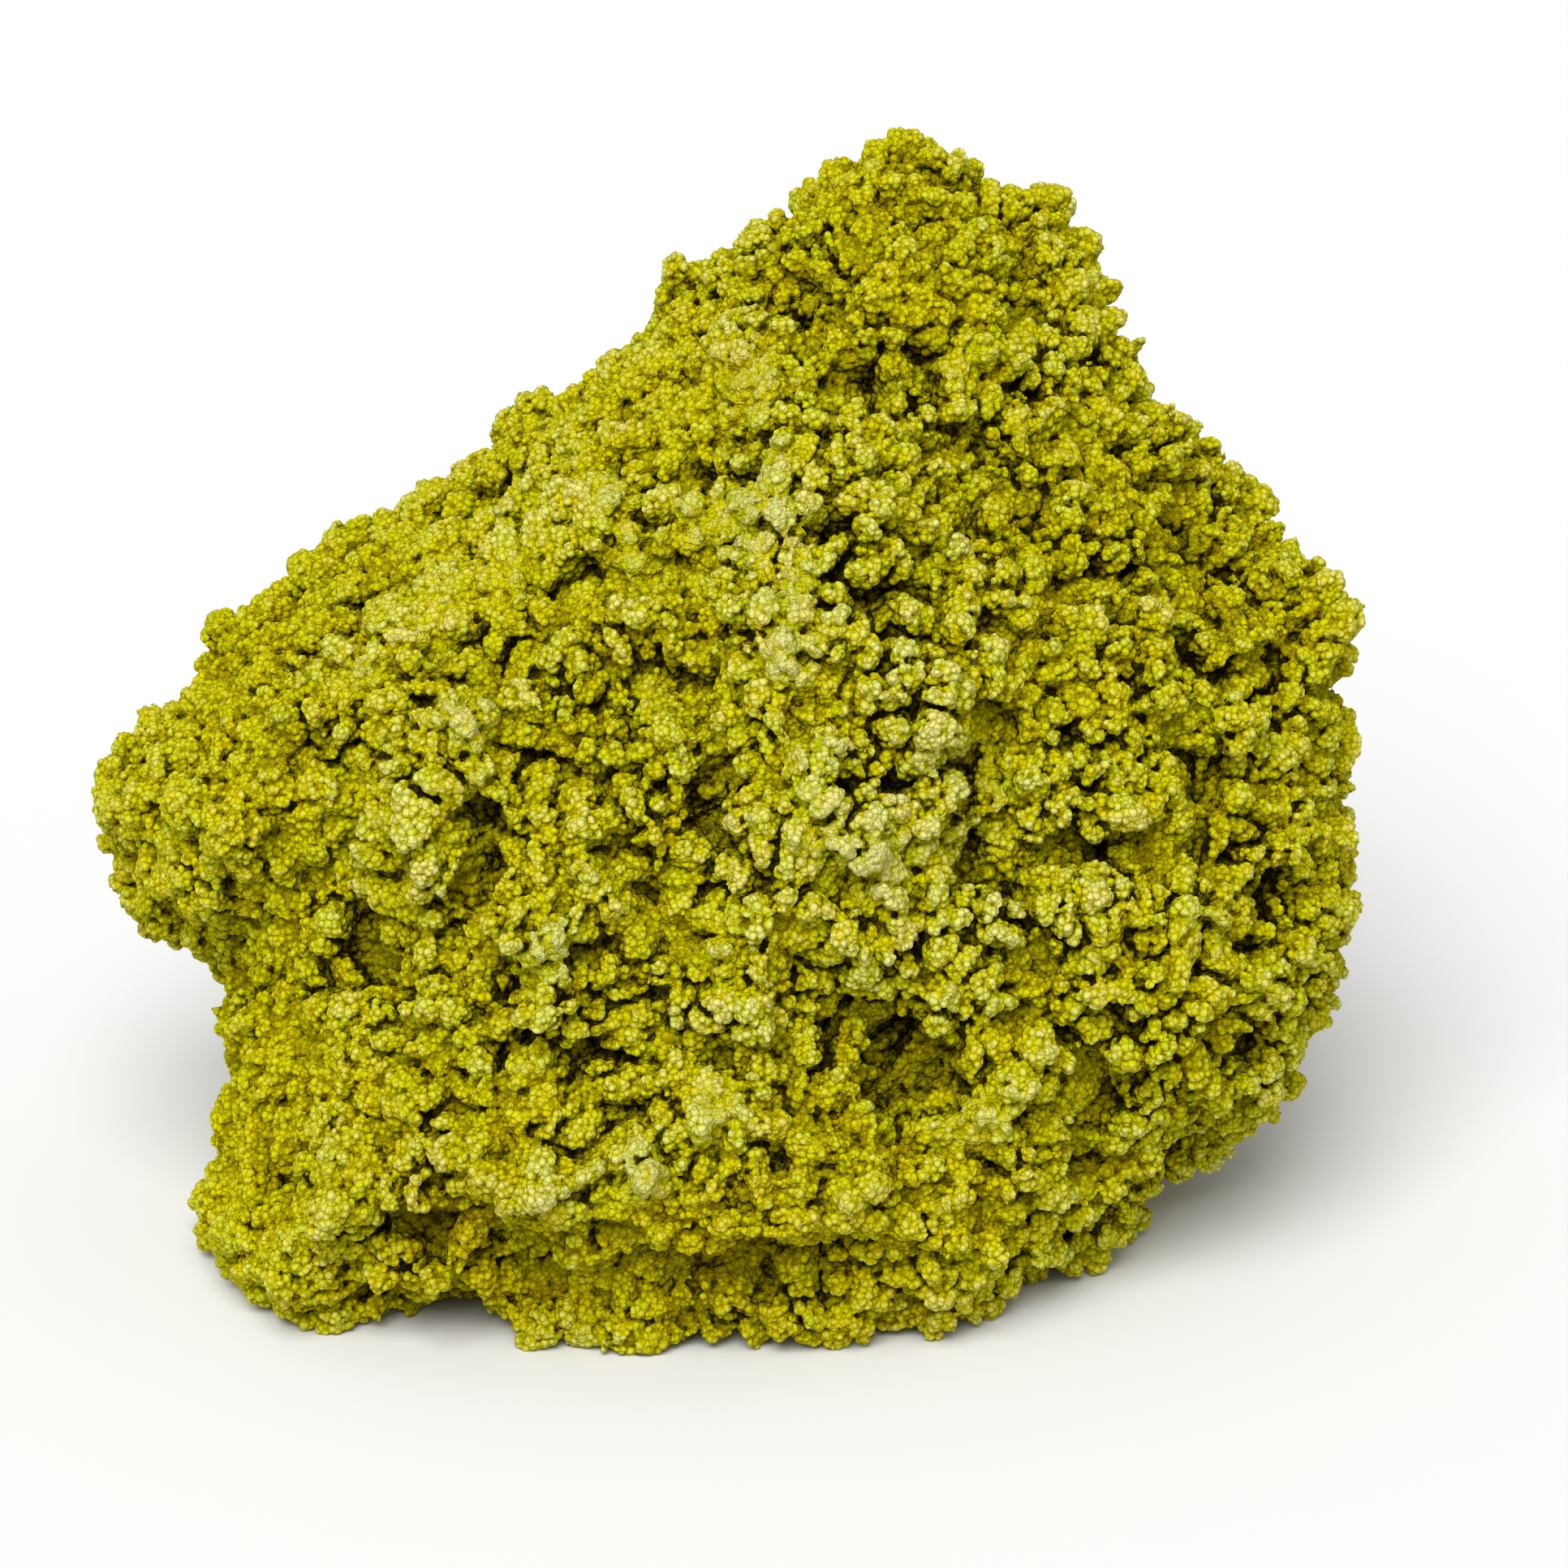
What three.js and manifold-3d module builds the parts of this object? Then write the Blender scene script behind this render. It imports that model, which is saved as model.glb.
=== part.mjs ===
// A nontronite specimen: one lump of yellow-green, iron-rich clay about the size of a fist.
// Its crust is botryoidal, so lumps, ledges and hollows cover a body with a broad face, a peak at
// the upper right, a lobe at the left and a foot at the lower left. It stands on a flat broken base.
//
// Millimetres, +Z up. The broad face looks towards -Y and leans back. The origin is on the base, in
// the middle of the lump's own bounding box. All the forms are drawn in the face's own frame: u to
// the right, v up the face and w straight out of it.
import * as THREE from "three";
import { mergeVertices } from "three/addons/utils/BufferGeometryUtils.js";
import Module from "manifold-3d";

// ---- Driving dimensions ----
const LEAN_DEG = 20; // how far the broad face leans back from upright
const FRONT_DEPTH = 30; // the body's middle to the broad face
const BACK_DEPTH = 27; // the body's middle to the back
const PEAK_THINNING = 0.42; // the share of that depth that is lost at the peak
const PEAK_FROM = 2; // where the thinning starts, up the face
const PEAK_TO = 46; // and where it ends
const EDGE_ROUND = 31; // how far in from the outline the edges stay rounded
const BASE_DROP = 30; // the face frame's origin to the base, down Z
const GRID = 22; // splits of each icosahedron edge: 20 * (GRID + 1) ** 2 triangles
const EVENING = 8; // rounds that even out the sizes of the triangles
const REACH = 62; // farther from the middle than any point of the body
const STEP = 0.8; // the coarse step of the search along a ray
const LUMP_SIZE = 6.2; // the spacing of the crust's lumps
const LUMP_RISE = 3; // from the bottom of the gaps to the top of the lumps
const SWELL_SIZE = 17; // the spacing of the broad swells on the faces
const SWELL_RISE = 2.2;
const BEND_SIZE = 8; // the spacing of the bends that make ridges and hollows wander
const BEND = 4; // how far they wander

// The outline of the broad face, u and v, anticlockwise from the peak.
const OUTLINE = [
  [11.5, 44.5], [8, 43.5], [5, 41.5], [3.5, 39], [0, 37], [-4, 34.5], [-6, 31], [-10.5, 27], [-16, 24.5],
  [-18.5, 21], [-22.5, 18], [-26.5, 17], [-29.5, 14.5], [-34, 12], [-35.5, 10.5], [-37.5, 5.5],
  [-39.5, 5], [-42.5, 2.3], [-45, -0.5], [-44, -5], [-42.5, -7.5], [-41, -11], [-37.5, -13.5],
  [-35.5, -14.5], [-35.7, -22], [-36, -26], [-38, -29.5], [-36.5, -35], [-32.5, -41], [-22, -45],
  [0, -46], [12, -45], [19, -41], [25, -35.5], [28, -33], [30, -29], [33.5, -26.5], [37.5, -25],
  [40, -21], [42, -15], [43, -11], [44.5, -8], [43, -4], [42, -1.5], [43, 3], [42.5, 6.5],
  [44.2, 11.5], [42.2, 14.8], [38, 15], [36, 20.5], [33.5, 21.5], [32.5, 25], [29.5, 26.5],
  [28, 30], [25.5, 35.5], [23, 40], [19.5, 41], [17, 42.5], [14.5, 43.2],
];

// Ridges and grooves of the broad face: a line of u and v, how far it stands out, and its half width.
const FACE_RIDGES = [
  { line: [[10, 40], [3, 28], [2, 16], [4, 6], [8, -4]], rise: 4.5, half: 9 }, // the crest
  { line: [[2, 22], [-8, 16], [-17, 12], [-25, 5], [-20, -4]], rise: 2.5, half: 6 }, // its left branch
  { line: [[-33, -33], [-21, -25], [-6, -27]], rise: 3, half: 6 }, // the brow
  { line: [[4, -30], [18, -31], [30, -22], [38, -10]], rise: 3.5, half: 6 }, // the brow's right half
  { line: [[-41, -5], [-34, 0]], rise: 5, half: 7 }, // the left lobe
  { line: [[-26, -6], [-24.5, -16]], rise: -6, half: 2.8 },
  { line: [[-31, -3], [-33.5, -10]], rise: -3, half: 2.6 },
  { line: [[17, -5], [32, -6]], rise: -4, half: 2.4 },
  { line: [[-12, -34], [9, -35.5]], rise: -5, half: 3 }, // the undercut below the brow
];

// Hollows of the broad face: u, v, depth and radius. A knob is a hollow of negative depth.
const FACE_HOLLOWS = [
  [9.6, -19.3, 9, 3.4], [13.6, -22.4, 6, 2.8], [-19.3, -31.6, 8, 2.7], [38, -10.8, 5, 2.6],
  [36.3, -18.8, 6, 2.8], [25, -21.3, 5, 2.6], [33, 16, 6, 2.8], [34, 12, 4, 2.6],
  [25.5, 13.6, 5, 2.6], [16, 22, 5, 2.8], [16.4, 17.6, 5, 2.4], [8.5, 27.2, 5, 2.6],
  [20, 34, 4, 2.6], [5.7, 33, 4, 2.6], [-2.8, 4, 4, 2.8], [17.6, 2.3, 4, 2.4],
  [-18, 2.6, -3, 2.8], [-12.6, -12.6, -3.5, 2.6], [-31, -34, -4, 6], [-3, -41, -1.5, 9],
];

// The arched hollow between the foot and the rest of the base.
const ARCH = { middle: [-18.6, -48, 18], radii: [7, 12.5, 18] };

// The back: ridges and hollows in the same forms, standing out away from the broad face.
const BACK_RIDGES = [
  { line: [[16, 38], [8, 20], [-8, 4], [-20, -20]], rise: 5, half: 7 },
  { line: [[8, 20], [26, 2], [30, -20]], rise: 4, half: 6 },
  { line: [[-30, 2], [-14, -12]], rise: -3, half: 3 },
  { line: [[2, -8], [14, -26]], rise: -4, half: 3.5 },
];
const BACK_HOLLOWS = [[-8, 16, 4, 4], [24, 16, 4, 3.5], [34, -6, 4, 3.5], [-26, -16, 4, 3.5], [6, -20, 4, 4]];

// ---- Seeded noise ----
// A repeatable number from 0 to 1 for a whole-number place and a channel.
function hash(i, j, k, channel) {
  let h = Math.imul(i, 374761393) ^ Math.imul(j, 668265263) ^ Math.imul(k, 2147483647);
  h = Math.imul(h ^ Math.imul(channel + 11, 974634777), 1274126177);
  h = Math.imul(h ^ (h >>> 15), 2246822519);
  return ((h ^ (h >>> 13)) >>> 0) / 4294967296;
}

// Calls visit with the whole-number corner of each cell round a point.
function forNeighbours(x, y, z, visit) {
  const [i, j, k] = [x, y, z].map(Math.floor);
  for (let di = -1; di <= 1; di++)
    for (let dj = -1; dj <= 1; dj++)
      for (let dk = -1; dk <= 1; dk++) visit(i + di, j + dj, k + dk);
}

const DOME_SPREAD = 0.55; // the square of a dome's radius, in cells

// Domed cells: 1 in the middle of each cell, falling to 0 in the gaps between them.
function domes(x, y, z) {
  let nearest = 9;
  forNeighbours(x, y, z, (i, j, k) => {
    const dx = i + 0.15 + 0.7 * hash(i, j, k, 0) - x;
    const dy = j + 0.15 + 0.7 * hash(i, j, k, 1) - y;
    const dz = k + 0.15 + 0.7 * hash(i, j, k, 2) - z;
    nearest = Math.min(nearest, dx * dx + dy * dy + dz * dz);
  });
  return Math.sqrt(Math.max(0, 1 - nearest / DOME_SPREAD));
}

// Smooth noise from -1 to 1.
function swells(x, y, z, channel) {
  const [i, j, k] = [x, y, z].map(Math.floor);
  const [fx, fy, fz] = [x - i, y - j, z - k].map((t) => t * t * (3 - 2 * t));
  let sum = 0;
  for (let c = 0; c < 8; c++) {
    const [a, b, d] = [c & 1, (c >> 1) & 1, (c >> 2) & 1];
    const weight = (a ? fx : 1 - fx) * (b ? fy : 1 - fy) * (d ? fz : 1 - fz);
    sum += weight * hash(i + a, j + b, k + d, channel);
  }
  return 2 * sum - 1;
}

// ---- The body ----
// The distance from a point to a segment.
function toSegment(u, v, [au, av], [bu, bv]) {
  const [eu, ev] = [bu - au, bv - av];
  const t = THREE.MathUtils.clamp(((u - au) * eu + (v - av) * ev) / (eu * eu + ev * ev), 0, 1);
  return Math.hypot(u - au - t * eu, v - av - t * ev);
}

// How far a point is inside the outline; outside it's negative.
function insetOf(u, v) {
  let distance = Infinity;
  let inside = false;
  OUTLINE.forEach((a, n) => {
    const b = OUTLINE[(n + 1) % OUTLINE.length];
    distance = Math.min(distance, toSegment(u, v, a, b));
    if (a[1] > v !== b[1] > v && u < ((b[0] - a[0]) * (v - a[1])) / (b[1] - a[1]) + a[0]) inside = !inside;
  });
  return inside ? distance : -distance;
}

const bell = (distance, half) => Math.exp(-((distance / half) ** 2));

// What ridges and hollows add to the depth at a place on a face.
function reliefOf(u, v, ridges, hollows) {
  let rise = 0;
  for (const { line, rise: height, half } of ridges) {
    let distance = Infinity;
    for (let n = 1; n < line.length; n++) distance = Math.min(distance, toSegment(u, v, line[n - 1], line[n]));
    rise += height * bell(distance, half);
  }
  for (const [cu, cv, depth, radius] of hollows) rise -= depth * bell(Math.hypot(u - cu, v - cv), radius);
  return rise;
}

// Above 0 inside the arched hollow between the foot and the rest of the base.
function archAt(u, v, w) {
  const [cu, cv, cw] = ARCH.middle;
  const [ru, rv, rw] = ARCH.radii;
  return ru * (1 - Math.hypot((u - cu) / ru, (v - cv) / rv, (w - cw) / rw));
}

// Above 0 inside the body: the outline swelled out to both faces, uneven, and covered in lumps.
function fieldAt(u, v, w) {
  const at = [u, v, w].map((t) => t / BEND_SIZE);
  const bentU = u + BEND * swells(...at, 4);
  const bentV = v + BEND * swells(...at, 5);
  const relief =
    w > 0 ? reliefOf(bentU, bentV, FACE_RIDGES, FACE_HOLLOWS) : reliefOf(bentU, bentV, BACK_RIDGES, BACK_HOLLOWS);
  const swell = SWELL_RISE * swells(u / SWELL_SIZE, v / SWELL_SIZE, w / SWELL_SIZE, 3);
  const thinning = 1 - PEAK_THINNING * THREE.MathUtils.smoothstep(v, PEAK_FROM, PEAK_TO);
  const depth = (w > 0 ? FRONT_DEPTH : BACK_DEPTH) * thinning + relief + swell;
  const toEdge = Math.max(0, EDGE_ROUND - insetOf(u, v)) / EDGE_ROUND;
  const body = EDGE_ROUND * (1 - Math.hypot(toEdge, w / depth));
  const lumps = LUMP_RISE * (domes(u / LUMP_SIZE, v / LUMP_SIZE, w / LUMP_SIZE) - 0.75);
  return Math.min(body + lumps, -archAt(u, v, w));
}

// The distance from the middle to the body's surface, the way a unit direction points.
function surfaceAlong(direction) {
  const inside = (r) => fieldAt(direction.x * r, direction.y * r, direction.z * r) > 0;
  let outer = REACH;
  while (outer > STEP && !inside(outer)) outer -= STEP;
  let inner = outer;
  outer += STEP;
  for (let n = 0; n < 10; n++) {
    const middle = (inner + outer) / 2;
    if (inside(middle)) inner = middle;
    else outer = middle;
  }
  return inner;
}

// Moves each vertex the way it points until it's on the body's surface.
function pushToSurface(position) {
  const direction = new THREE.Vector3();
  for (let n = 0; n < position.count; n++) {
    direction.fromBufferAttribute(position, n).normalize();
    direction.multiplyScalar(surfaceAlong(direction));
    position.setXYZ(n, direction.x, direction.y, direction.z);
  }
}

// Moves each vertex to the mean of its neighbours, so that large and small triangles even out.
function evenOut(geometry) {
  const position = geometry.getAttribute("position");
  const corners = geometry.index.array;
  const sums = new Float32Array(3 * position.count);
  const counts = new Uint8Array(position.count);
  for (let n = 0; n < corners.length; n++) {
    const from = corners[n];
    const to = corners[n % 3 === 2 ? n - 2 : n + 1];
    sums[3 * from] += position.getX(to);
    sums[3 * from + 1] += position.getY(to);
    sums[3 * from + 2] += position.getZ(to);
    counts[from] += 1;
  }
  for (let n = 0; n < position.count; n++)
    position.setXYZ(n, sums[3 * n] / counts[n], sums[3 * n + 1] / counts[n], sums[3 * n + 2] / counts[n]);
}

// The whole body in the face's frame, from an icosahedron's fine grid.
function lumpGeometry() {
  const geometry = new THREE.IcosahedronGeometry(1, GRID);
  geometry.deleteAttribute("normal");
  geometry.deleteAttribute("uv");
  const merged = mergeVertices(geometry, 1e-4);
  const position = merged.getAttribute("position");
  pushToSurface(position);
  for (let round = 0; round < EVENING; round++) evenOut(merged);
  pushToSurface(position);
  return merged;
}

// ---- The flat base ----
const wasm = await Module();
wasm.setup();

function toSolid(geometry) {
  const merged = mergeVertices(geometry, 1e-4);
  return new wasm.Manifold(
    new wasm.Mesh({
      numProp: 3,
      vertProperties: merged.getAttribute("position").array,
      triVerts: new Uint32Array(merged.index.array),
    }),
  );
}

function toGeometry(solid) {
  const mesh = solid.getMesh();
  const geometry = new THREE.BufferGeometry();
  geometry.setAttribute("position", new THREE.BufferAttribute(mesh.vertProperties, 3));
  geometry.setIndex(new THREE.BufferAttribute(mesh.triVerts, 1));
  geometry.computeVertexNormals();
  return geometry;
}

// Stands the lump up, leaning back, and takes off what lies below the base.
function standingSolid() {
  const lump = lumpGeometry();
  lump.rotateX(Math.PI / 2 - THREE.MathUtils.degToRad(LEAN_DEG));
  lump.translate(0, 0, BASE_DROP);
  const below = new THREE.BoxGeometry(4 * REACH, 4 * REACH, 2 * REACH);
  below.deleteAttribute("normal");
  below.deleteAttribute("uv");
  below.translate(0, 0, -REACH);
  return toSolid(lump).subtract(toSolid(below));
}

// ---- The part ----
const clay = new THREE.MeshStandardMaterial({ color: 0xa39a1c, roughness: 0.95, metalness: 0 });
const specimen = new THREE.Mesh(toGeometry(standingSolid()), clay);
specimen.name = "nontronite_lump";
specimen.geometry.computeBoundingBox();
const middle = specimen.geometry.boundingBox.getCenter(new THREE.Vector3());
specimen.position.set(-middle.x, -middle.y, 0);

const part = new THREE.Group();
part.add(specimen);
export default part;
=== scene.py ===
"""The looks of a nontronite specimen: a lump of yellow-green clay under a crust of small round grains.

The crust is made from coarse to fine. The CAD solid is rounded off, and clumps, gaps, ridges and pits
move its surface out and in. A voxel remesh turns that surface into an even, dense mesh, which is thinned
where the photo's camera doesn't look. Lobes and grains then move the dense mesh, and it is cut into
slices from left to right. The material draws the same grains in the same places, and colours a place by
how far it stands out, how open it is, and how worn. Part of that colour is painted light on high, open
places and grain tops, painted shade in creases, recesses and gaps, and patches of painted light and shade.

Lengths are in millimetres until a mesh is made, which is in metres. "Sight" coordinates s and t are
millimetres to the right of and above the middle of the view, on the plane where the view is to scale.
"""

import math

import bpy
import numpy as np
from mathutils import Matrix, Vector
from mathutils.bvhtree import BVHTree


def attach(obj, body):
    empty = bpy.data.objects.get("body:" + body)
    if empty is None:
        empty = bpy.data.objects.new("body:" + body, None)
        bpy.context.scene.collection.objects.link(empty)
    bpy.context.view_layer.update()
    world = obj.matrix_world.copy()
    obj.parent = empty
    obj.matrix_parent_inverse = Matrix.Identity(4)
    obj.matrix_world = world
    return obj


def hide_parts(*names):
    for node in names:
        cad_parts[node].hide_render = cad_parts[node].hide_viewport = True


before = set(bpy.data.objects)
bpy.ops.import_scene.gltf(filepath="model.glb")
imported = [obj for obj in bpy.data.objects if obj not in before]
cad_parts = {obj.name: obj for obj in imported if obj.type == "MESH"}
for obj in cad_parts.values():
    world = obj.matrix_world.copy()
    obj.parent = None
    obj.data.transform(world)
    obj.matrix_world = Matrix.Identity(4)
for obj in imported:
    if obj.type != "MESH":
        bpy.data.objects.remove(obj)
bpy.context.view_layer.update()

MM = 0.001
TINY = 1e-12  # stands in for a length of 0 where something is divided by it

# ---- The view ----
LEAN = math.radians(20)  # the broad face leans back by this, and the camera looks down by it
FACE_ORIGIN = np.array((-0.09, 2.57, 30.0))  # the middle of the body, behind the broad face
RIGHT = np.array((1.0, 0.0, 0.0))
UP = np.array((0.0, math.sin(LEAN), math.cos(LEAN)))
OUT = np.array((0.0, -math.cos(LEAN), math.sin(LEAN)))
PICTURE_PX = 1932
MM_PER_PX = 0.0567  # on the plane where the picture is to scale
PICTURE_MM = PICTURE_PX * MM_PER_PX
VIEW_RIGHT = 3.74  # from FACE_ORIGIN to the middle of the view
VIEW_DOWN = 0.91
SIGHT_MIDDLE = FACE_ORIGIN + VIEW_RIGHT * RIGHT - VIEW_DOWN * UP
DISTANCE = 450.0
SENSOR = 36
CLIP_METRES = (0.01, 10)


def sight(points):
    """The sight coordinates s and t of points, as the camera sees them."""
    rel = points - SIGHT_MIDDLE
    scale = DISTANCE / (DISTANCE - rel @ OUT)
    return rel @ RIGHT * scale, rel @ UP * scale


def make_camera():
    camera = bpy.data.objects.new("camera", bpy.data.cameras.new("camera"))
    bpy.context.collection.objects.link(camera)
    camera.data.sensor_width = SENSOR
    camera.data.lens = camera.data.sensor_width * DISTANCE / PICTURE_MM
    camera.location = Vector((SIGHT_MIDDLE + OUT * DISTANCE) * MM)
    camera.rotation_euler = Matrix((RIGHT, UP, OUT)).transposed().to_euler()
    camera.data.clip_start, camera.data.clip_end = CLIP_METRES
    bpy.context.scene.camera = camera


# ---- Meshes as arrays ----
def evaluated_mesh(thing):
    """A new mesh, as the object's modifiers leave it."""
    graph = bpy.context.evaluated_depsgraph_get()
    return bpy.data.meshes.new_from_object(thing.evaluated_get(graph))


def arrays_of(thing):
    """The corners (n, 3) and triangles (m, 3) of an object, after its modifiers."""
    mesh = evaluated_mesh(thing)
    corners = np.empty(3 * len(mesh.vertices), np.float32)
    mesh.vertices.foreach_get("co", corners)
    mesh.calc_loop_triangles()
    triangles = np.empty(3 * len(mesh.loop_triangles), np.int32)
    mesh.loop_triangles.foreach_get("vertices", triangles)
    bpy.data.meshes.remove(mesh)
    return corners.reshape(-1, 3).astype(float) / MM, triangles.reshape(-1, 3)


def object_of(name, corners, triangles, **attributes):
    """A smooth-shaded object from arrays. An attribute is one number or one vector for each corner."""
    mesh = bpy.data.meshes.new(name)
    mesh.vertices.add(len(corners))
    mesh.vertices.foreach_set("co", (corners * MM).astype(np.float32).ravel())
    mesh.loops.add(3 * len(triangles))
    mesh.loops.foreach_set("vertex_index", triangles.astype(np.int32).ravel())
    mesh.polygons.add(len(triangles))
    mesh.polygons.foreach_set("loop_start", np.arange(0, 3 * len(triangles), 3, dtype=np.int32))
    mesh.update(calc_edges=True)
    mesh.shade_smooth()
    for key, values in attributes.items():
        kind, field = ("FLOAT", "value") if values.ndim == 1 else ("FLOAT_VECTOR", "vector")
        attribute = mesh.attributes.new(key, kind, "POINT")
        attribute.data.foreach_set(field, values.astype(np.float32).ravel())
    thing = bpy.data.objects.new(name, mesh)
    bpy.context.collection.objects.link(thing)
    return thing


def remake(corners, triangles, *modifiers):
    """The arrays after some modifiers. Each is a type and a dict of its settings."""
    thing = object_of("remaking", corners, triangles)
    for kind, settings in modifiers:
        modifier = thing.modifiers.new(kind, kind)
        for key, value in settings.items():
            setattr(modifier, key, value)
    made = arrays_of(thing)
    bpy.data.meshes.remove(thing.data)
    return made


def unit(vectors):
    return vectors / np.maximum(np.linalg.norm(vectors, axis=-1, keepdims=True), TINY)


def corner_normals(corners, triangles):
    """The unit normal at each corner, from the triangles around it in proportion to their areas."""
    a, b, c = (corners[triangles[:, k]] for k in range(3))
    flat = np.cross(b - a, c - a)
    sums = np.zeros_like(corners)
    for k in range(3):
        for axis in range(3):
            sums[:, axis] += np.bincount(triangles[:, k], flat[:, axis], len(corners))
    return unit(sums)


def above_floor(corners):
    """The corners, with those below the floor brought up to it."""
    return np.maximum(corners, (-np.inf, -np.inf, 0))


# ---- Noise ----
# Each use of noise has channels of its own. A vector takes three in a row, and cells take six.
CHANNELS = {
    "stroke_s": 11, "stroke_t": 12, "worn_edge": 15, "clump_bend": 20, "clump_edge": 23,
    "gap_depth": 26, "swell": 27, "clump": 30, "group": 40, "lobe_bend": 50, "worn_lumps": 55,
    "worn_pits": 56, "lobe": 60, "grain_bend": 70, "flow_bend": 90, "flow": 100,
}
# Large odd factors and shifts, which scramble the bits of a place.
PLACE_FACTORS = (374761393, 668265263, 1442695041)
CHANNEL_FACTOR = 974634777
SCRAMBLES = ((13, 1274126177), (16, 2246822519))
LAST_SHIFT = 15
ALL_BITS = 0xFFFFFFFF
# Added so that every place noise is worked out for is above 0.
SWELLS_START = 1000
CELLS_START = 500
# Each cube of the cells has one seed, inside these margins.
SEED_MARGIN = 0.1
SEED_RANGE = 0.8


def smoothstep(low, high, x):
    t = np.clip((x - low) / (high - low), 0, 1)
    return t * t * (3 - 2 * t)


def dome(distances, radius):
    """The height of a half sphere of height 1, at distances from its middle."""
    return np.sqrt(np.clip(1 - (distances / radius) ** 2, 0, 1))


def lattice(i, j, k, channel):
    """A repeatable number from 0 to 1 for whole-number places."""
    place = i * PLACE_FACTORS[0] + j * PLACE_FACTORS[1] + k * PLACE_FACTORS[2]
    bits = (place + channel * CHANNEL_FACTOR) & ALL_BITS
    for shift, factor in SCRAMBLES:
        bits = ((bits ^ (bits >> shift)) * factor) & ALL_BITS
    return (bits ^ (bits >> LAST_SHIFT)) / (ALL_BITS + 1)


def swells(points, size, channel):
    """Smooth noise from -1 to 1, with bumps about size apart."""
    at = points / size + SWELLS_START
    whole = np.floor(at).astype(np.int64)
    part = at - whole
    part = part * part * (3 - 2 * part)
    total = np.zeros(len(points))
    for z, y, x in np.ndindex(2, 2, 2):
        step = np.array((x, y, z))
        weight = np.prod(np.where(step, part, 1 - part), axis=1)
        total += weight * lattice(*(whole + step).T, channel)
    return 2 * total - 1


def cells(points, size, channel):
    """Distances to the nearest and second nearest of seeds about size apart, and the nearest's number."""
    at = points / size + CELLS_START
    whole = np.floor(at).astype(np.int64)
    first = np.full(len(points), np.inf)
    second = first.copy()
    own = np.zeros(len(points))
    for step in np.ndindex(3, 3, 3):
        cell = whole + np.array(step) - 1
        seed = np.stack([lattice(*cell.T, channel + axis) for axis in range(3)], axis=1)
        away = np.sqrt(np.sum((cell + SEED_MARGIN + SEED_RANGE * seed - at) ** 2, axis=1))
        near = away < first
        second = np.where(near, first, np.minimum(second, away))
        own = np.where(near, lattice(*cell.T, channel + 5), own)
        first = np.where(near, away, first)
    return first * size, second * size, own


def warped(points, size, reach, channel):
    """Points moved by up to reach along each axis, by noise with bumps about size apart."""
    moves = np.stack([swells(points, size, channel + axis) for axis in range(3)], axis=1)
    return points + reach * moves


# ---- Places on the specimen ----
# Round regions as the camera sees them: s, t, radius, and how strong they are in the middle.
# Where clumps are low and gaps shallow:
FINE_REGIONS = [
    (-30, 16, 14, 0.9), (-12, 32, 12, 0.7), (-40, -3, 11, 1), (-33, -22, 10, 0.8), (-36, -33, 10, 1),
    (-16, -37, 10, 0.9), (4, -39, 9, 0.9), (4, 42, 6, 0.6),
]
# Where the grains have been rubbed flat:
WORN_REGIONS = [
    (-2.3, 27.5, 3.2, 1), (-1.2, 22.5, 2.8, 0.8), (-2, 18.5, 3.2, 1), (0.5, 14, 3, 0.8),
    (0.5, 9.5, 2.6, 1), (-6.5, 18.5, 3.2, 0.8), (-10.5, 16.5, 3, 0.7), (-12, 20.5, 2.8, 0.6),
    (-18.4, 13.6, 3, 0.7), (-24, 10.5, 3, 0.6), (-30, 8, 2.6, 0.5), (-22.7, 4, 2.4, 1),
    (3, -3, 2.6, 0.9), (7.3, -5.1, 3, 0.9), (-16.3, -11.6, 2.2, 1), (-31.5, -1, 3, 0.4),
    (-38.7, -32.4, 4, 0.5), (-9.9, -27, 3.2, 0.7), (-4.5, -23, 2.4, 0.8), (-27.5, -21.7, 3, 0.5),
    (15, 0.4, 2.2, 0.6), (29, -10.5, 2.4, 0.8), (13.3, -24, 3, 0.8), (22, -12, 2.4, 0.6),
    (-14, -38.6, 2.5, 0.4), (12, 29, 2.4, 0.6),
]
# Where patches of painted light make the face paler, or patches of painted shade darker below 0:
PAINTED_TONE_REGIONS = [
    (6, -5, 15, 0.25), (12, -2, 5, 0.2), (0, 18, 6, 0.25), (6, 40, 8, -0.25), (-40, -24, 9, -0.25),
    (40, 13, 8, -0.2), (-8, -39, 10, -0.2), (-38, 12, 9, -0.2), (4.6, -23, 4, -0.2),
]
# Where brown earth clings:
EARTH_REGIONS = [
    (-22, -33, 7, 0.9), (-3, -32, 6, 0.8), (8, -35, 6, 0.6), (-3.5, 30.4, 2.5, 0.4), (-31, -24, 5, 0.4),
]
# Where the clumps are drawn out: s, t, radius, and the direction in s and t.
FLOWS = [
    (-29, -5, 10, 0.1, 1), (-34, -24, 8, 0.25, 0.97), (-24, 17, 11, 0.8, 0.6), (-9, 25, 9, 0.6, 0.8),
    (-12, -27, 8, 0.9, 0.44),
]
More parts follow.
